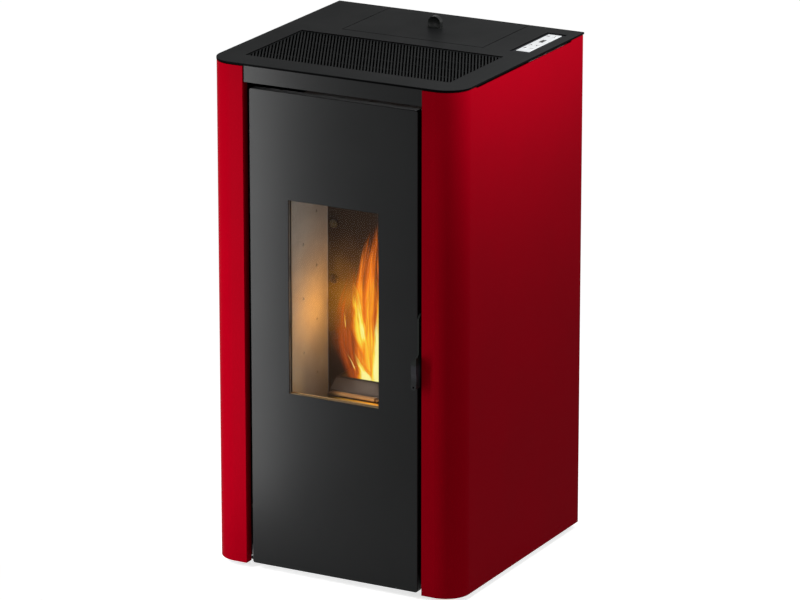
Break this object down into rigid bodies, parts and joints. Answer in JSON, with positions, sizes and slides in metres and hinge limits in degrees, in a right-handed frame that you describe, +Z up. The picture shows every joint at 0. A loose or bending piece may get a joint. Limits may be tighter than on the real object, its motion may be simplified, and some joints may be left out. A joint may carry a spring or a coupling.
{
  "type": "pellet stove",
  "caption": "Free-standing pellet stove with wrap-round red side panels, a black top with grille and hopper lid, and a full-height black door with a tall window.",
  "frame": {"origin": "on the floor under the middle of the whole stove, latch tab and flue spigot included", "axes": "+Z up; the door faces -Y and the flue spigot points along +Y; +X is on the right seen from the front"},
  "size_m": [0.458, 0.4946, 0.88],
  "materials": {
    "red_panel": "smooth gloss red powder coat",
    "black_plate": "fine matt black high-temperature paint",
    "door_paint": "fine matt black high-temperature paint",
    "grille_paint": "matt black paint",
    "dark_sheet": "satin black paint",
    "zinc_sheet": "galvanised sheet",
    "raw_steel": "bright zinc-plated steel",
    "firebox_steel": "heat-proof dark grey paint",
    "cast_iron": "bare casting, heat-darkened",
    "lining_board": "pressed vermiculite board",
    "glass_pane": "clear ceramic glass",
    "gasket_fibre": "woven glass fibre",
    "black_plastic": "moulded heat-proof plastic",
    "lever_plastic": "moulded heat-proof plastic",
    "film_white": "printed film",
    "key_white": "moulded key caps",
    "display_black": "dark window",
    "lid_rubber": "sponge strip",
    "motor_steel": "plated motor can",
    "fan_alloy": "plain sheet",
    "foot_rubber": "hard rubber",
    "board_green": "circuit board",
    "reset_red": "moulded button"
  },
  "bodies": {
    "stove_body": {"inner_frames": "zinc_sheet", "base_plate": "dark_sheet", "levelling_feet": "foot_rubber", "casing_screws": "raw_steel", "top_plate": "black_plate", "front_fascia": "door_paint", "air_grille": "grille_paint", "side_panel_left": "red_panel", "side_panel_right": "red_panel", "lid_hinge_brackets": "raw_steel", "keypad_bezel": "black_plastic", "keypad_membrane": "film_white", "display_window": "display_black", "door_brackets": "raw_steel", "firebox_shell": "firebox_steel", "firebox_stand": "dark_sheet", "side_linings": "lining_board", "lining_rear": "lining_board", "flame_baffle": "lining_board", "heat_exchanger_tubes": "firebox_steel", "pot_support": "cast_iron", "ash_drawer": "dark_sheet", "igniter": "raw_steel", "auger_tube": "dark_sheet", "auger_gearmotor": "motor_steel", "pellet_hopper": "zinc_sheet", "heat_shield": "zinc_sheet", "exhaust_fan_housing": "zinc_sheet", "exhaust_fan_motor": "motor_steel", "flue_spigot": "dark_sheet", "air_intake_pipe": "zinc_sheet", "blower_housing": "zinc_sheet", "blower_motor": "motor_steel", "back_panel": "dark_sheet", "power_inlet": "black_plastic", "thermostat": "raw_steel", "control_board": "board_green"},
    "door": {"door_panel": "door_paint", "glass_gasket": "gasket_fibre", "door_glass": "glass_pane", "door_frame": "firebox_steel", "door_gasket": "gasket_fibre", "door_stiffeners": "zinc_sheet", "latch_bracket": "raw_steel"},
    "latch": {"latch_lever": "lever_plastic"},
    "lid": {"hopper_lid": "black_plate", "lid_seal": "lid_rubber", "lid_knob": "black_plastic"},
    "auger": {"auger_screw": "raw_steel"},
    "smoke_fan": {"exhaust_impeller": "fan_alloy"},
    "room_fan": {"blower_rotor": "fan_alloy"},
    "rocker": {"switch_rocker": "black_plastic"},
    "reset": {"reset_button": "reset_red"},
    "pot": {"burn_pot": "cast_iron"},
    "key_1_body": {"key_1": "key_white"},
    "key_2_body": {"key_2": "key_white"},
    "key_3_body": {"key_3": "key_white"},
    "key_4_body": {"key_4": "key_white"},
    "key_5_body": {"key_5": "key_white"},
    "key_6_body": {"key_6": "key_white"}
  },
  "joints": [
    {"name": "door_swing", "type": "hinge", "parent": "stove_body", "child": "door", "pos_m": [-0.1424, -0.21875, 0.44], "axis": [0, 0, -1], "range_deg": [0, 105]},
    {"name": "latch_turn", "type": "hinge", "parent": "door", "child": "latch", "pos_m": [0.1561, -0.21075, 0.44], "axis": [-1, 0, 0], "range_deg": [0, 35]},
    {"name": "lid_swing", "type": "hinge", "parent": "stove_body", "child": "lid", "pos_m": [0, 0.19925, 0.85], "axis": [-1, 0, 0], "range_deg": [0, 85]},
    {"name": "auger_spin", "type": "hinge", "parent": "stove_body", "child": "auger", "pos_m": [0, 0.00125, 0.495], "axis": [0, 0.7071, -0.7071], "continuous": true},
    {"name": "smoke_fan_spin", "type": "hinge", "parent": "stove_body", "child": "smoke_fan", "pos_m": [0.091, 0.06525, 0.24], "axis": [1, 0, 0], "continuous": true},
    {"name": "room_fan_spin", "type": "hinge", "parent": "stove_body", "child": "room_fan", "pos_m": [0, 0.06025, 0.1], "axis": [1, 0, 0], "continuous": true},
    {"name": "rocker_tilt", "type": "hinge", "parent": "stove_body", "child": "rocker", "pos_m": [-0.165, 0.20375, 0.106], "axis": [-1, 0, 0], "range_deg": [0, 16]},
    {"name": "reset_press", "type": "slide", "parent": "stove_body", "child": "reset", "axis": [0, -1, 0], "range_m": [0, 0.003], "stiffness_N_per_m": 400},
    {"name": "pot_lift", "type": "slide", "parent": "stove_body", "child": "pot", "axis": [0, 0, 1], "range_m": [0, 0.045]},
    {"name": "key_1_press", "type": "slide", "parent": "stove_body", "child": "key_1_body", "axis": [0, 0, -1], "range_m": [0, 0.0004], "stiffness_N_per_m": 800},
    {"name": "key_2_press", "type": "slide", "parent": "stove_body", "child": "key_2_body", "axis": [0, 0, -1], "range_m": [0, 0.0004], "stiffness_N_per_m": 800},
    {"name": "key_3_press", "type": "slide", "parent": "stove_body", "child": "key_3_body", "axis": [0, 0, -1], "range_m": [0, 0.0004], "stiffness_N_per_m": 800},
    {"name": "key_4_press", "type": "slide", "parent": "stove_body", "child": "key_4_body", "axis": [0, 0, -1], "range_m": [0, 0.0004], "stiffness_N_per_m": 800},
    {"name": "key_5_press", "type": "slide", "parent": "stove_body", "child": "key_5_body", "axis": [0, 0, -1], "range_m": [0, 0.0004], "stiffness_N_per_m": 800},
    {"name": "key_6_press", "type": "slide", "parent": "stove_body", "child": "key_6_body", "axis": [0, 0, -1], "range_m": [0, 0.0004], "stiffness_N_per_m": 800}
  ]
}
